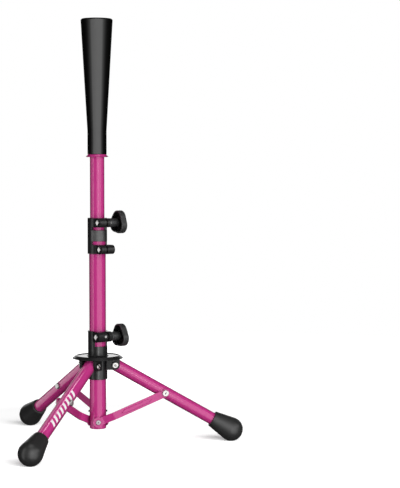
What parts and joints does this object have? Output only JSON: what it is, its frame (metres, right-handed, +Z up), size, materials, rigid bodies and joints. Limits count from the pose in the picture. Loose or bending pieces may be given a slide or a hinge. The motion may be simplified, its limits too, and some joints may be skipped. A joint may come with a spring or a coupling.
{
  "type": "batting tee",
  "caption": "Folding tripod batting tee: clamped telescopic mast with a tapered rubber ball rest, sliding hub with hinged legs and braces, bulb-shaped rubber feet.",
  "frame": {"origin": "on the floor, on the axis of the centre column, with the tripod open", "axes": "+Z up along the mast, +X along leg 1; legs 2 and 3 at 120 and 240 degrees about +Z"},
  "size_m": [0.3467, 0.3946, 0.65],
  "materials": {
    "pink_paint": "glossy powder coat on steel tube",
    "black_rubber": "satin moulded rubber",
    "black_nylon": "satin moulded nylon",
    "zinc_steel": "bright zinc",
    "steel_insert": "turned",
    "black_steel": "black oxide",
    "guide_plastic": "moulded"
  },
  "bodies": {
    "column": {"outer_pole": "pink_paint", "pole_end_plug": "pink_paint", "stop_pin": "black_steel", "upper_clamp_body": "black_nylon", "clamp_fixing_bolt": "zinc_steel", "clamp_fixing_nut": "zinc_steel", "upper_clamp_bolt": "zinc_steel"},
    "mast": {"inner_pole": "pink_paint", "inner_pole_foot_bush": "guide_plastic", "pole_stop_flange": "pink_paint", "ball_rest_cone": "black_rubber"},
    "hub": {"hub_body": "black_nylon", "hub_clamp_bolt": "zinc_steel", "leg_pivot_bolts": "zinc_steel", "leg_pivot_nuts": "zinc_steel"},
    "upper_washer": {"upper_knob_washer": "zinc_steel"},
    "upper_knob": {"upper_knob": "black_nylon", "upper_knob_insert": "steel_insert"},
    "hub_washer": {"hub_knob_washer": "zinc_steel"},
    "hub_knob": {"hub_knob": "black_nylon", "hub_knob_insert": "steel_insert"},
    "leg_1": {"leg_tube_1": "pink_paint", "rubber_foot_1": "black_rubber", "brace_bolt_1": "zinc_steel", "brace_nut_1": "zinc_steel"},
    "brace_1": {"brace_link_1": "pink_paint", "brace_rivet_1": "zinc_steel"},
    "leg_2": {"leg_tube_2": "pink_paint", "rubber_foot_2": "black_rubber", "brace_bolt_2": "zinc_steel", "brace_nut_2": "zinc_steel"},
    "brace_2": {"brace_link_2": "pink_paint", "brace_rivet_2": "zinc_steel"},
    "leg_3": {"leg_tube_3": "pink_paint", "rubber_foot_3": "black_rubber", "brace_bolt_3": "zinc_steel", "brace_nut_3": "zinc_steel"},
    "brace_3": {"brace_link_3": "pink_paint", "brace_rivet_3": "zinc_steel"}
  },
  "joints": [
    {"name": "mast_height", "type": "slide", "parent": "column", "child": "mast", "axis": [0, 0, 1], "range_m": [-0.09, 0.12]},
    {"name": "tripod_fold", "type": "slide", "parent": "column", "child": "hub", "axis": [0, 0, 1], "range_m": [0, 0.10912]},
    {"name": "upper_knob_travel", "type": "slide", "parent": "column", "child": "upper_washer", "axis": [0.866, 0.5, 0], "range_m": [0, 0.0021]},
    {"name": "upper_knob_turn", "type": "hinge", "parent": "upper_washer", "child": "upper_knob", "pos_m": [0.02832, -0.00905, 0.34015], "axis": [0.866, 0.5, 0], "range_deg": [0, 720]},
    {"name": "hub_knob_travel", "type": "slide", "parent": "hub", "child": "hub_washer", "axis": [0.866, 0.5, 0], "range_m": [0, 0.0021]},
    {"name": "hub_knob_turn", "type": "hinge", "parent": "hub_washer", "child": "hub_knob", "pos_m": [0.03005, -0.00805, 0.1662], "axis": [0.866, 0.5, 0], "range_deg": [0, 720]},
    {"name": "leg_1_fold", "type": "hinge", "parent": "hub", "child": "leg_1", "pos_m": [0.026, 0, 0.1217], "axis": [0, 1, 0], "range_deg": [0, 56.15]},
    {"name": "brace_1_swing", "type": "hinge", "parent": "leg_1", "child": "brace_1", "pos_m": [0.10367, 0, 0.07704], "axis": [0, -1, 0], "range_deg": [0, 106.86]},
    {"name": "leg_2_fold", "type": "hinge", "parent": "hub", "child": "leg_2", "pos_m": [-0.013, 0.02252, 0.1217], "axis": [-0.866, -0.5, 0], "range_deg": [0, 56.15]},
    {"name": "brace_2_swing", "type": "hinge", "parent": "leg_2", "child": "brace_2", "pos_m": [-0.05184, 0.08978, 0.07704], "axis": [0.866, 0.5, 0], "range_deg": [0, 106.86]},
    {"name": "leg_3_fold", "type": "hinge", "parent": "hub", "child": "leg_3", "pos_m": [-0.013, -0.02252, 0.1217], "axis": [0.866, -0.5, 0], "range_deg": [0, 56.15]},
    {"name": "brace_3_swing", "type": "hinge", "parent": "leg_3", "child": "brace_3", "pos_m": [-0.05184, -0.08978, 0.07704], "axis": [-0.866, 0.5, 0], "range_deg": [0, 106.86]}
  ],
  "couplings": [
    {"joint": "upper_knob_travel", "follows": "upper_knob_turn", "m_per_rad": 0.00015915},
    {"joint": "hub_knob_travel", "follows": "hub_knob_turn", "m_per_rad": 0.00015915},
    {"joint": "leg_1_fold", "follows": "tripod_fold", "rad_per_m": 8.9726},
    {"joint": "brace_1_swing", "follows": "tripod_fold", "rad_per_m": 17.083},
    {"joint": "leg_2_fold", "follows": "tripod_fold", "rad_per_m": 8.9726},
    {"joint": "brace_2_swing", "follows": "tripod_fold", "rad_per_m": 17.083},
    {"joint": "leg_3_fold", "follows": "tripod_fold", "rad_per_m": 8.9726},
    {"joint": "brace_3_swing", "follows": "tripod_fold", "rad_per_m": 17.083}
  ]
}
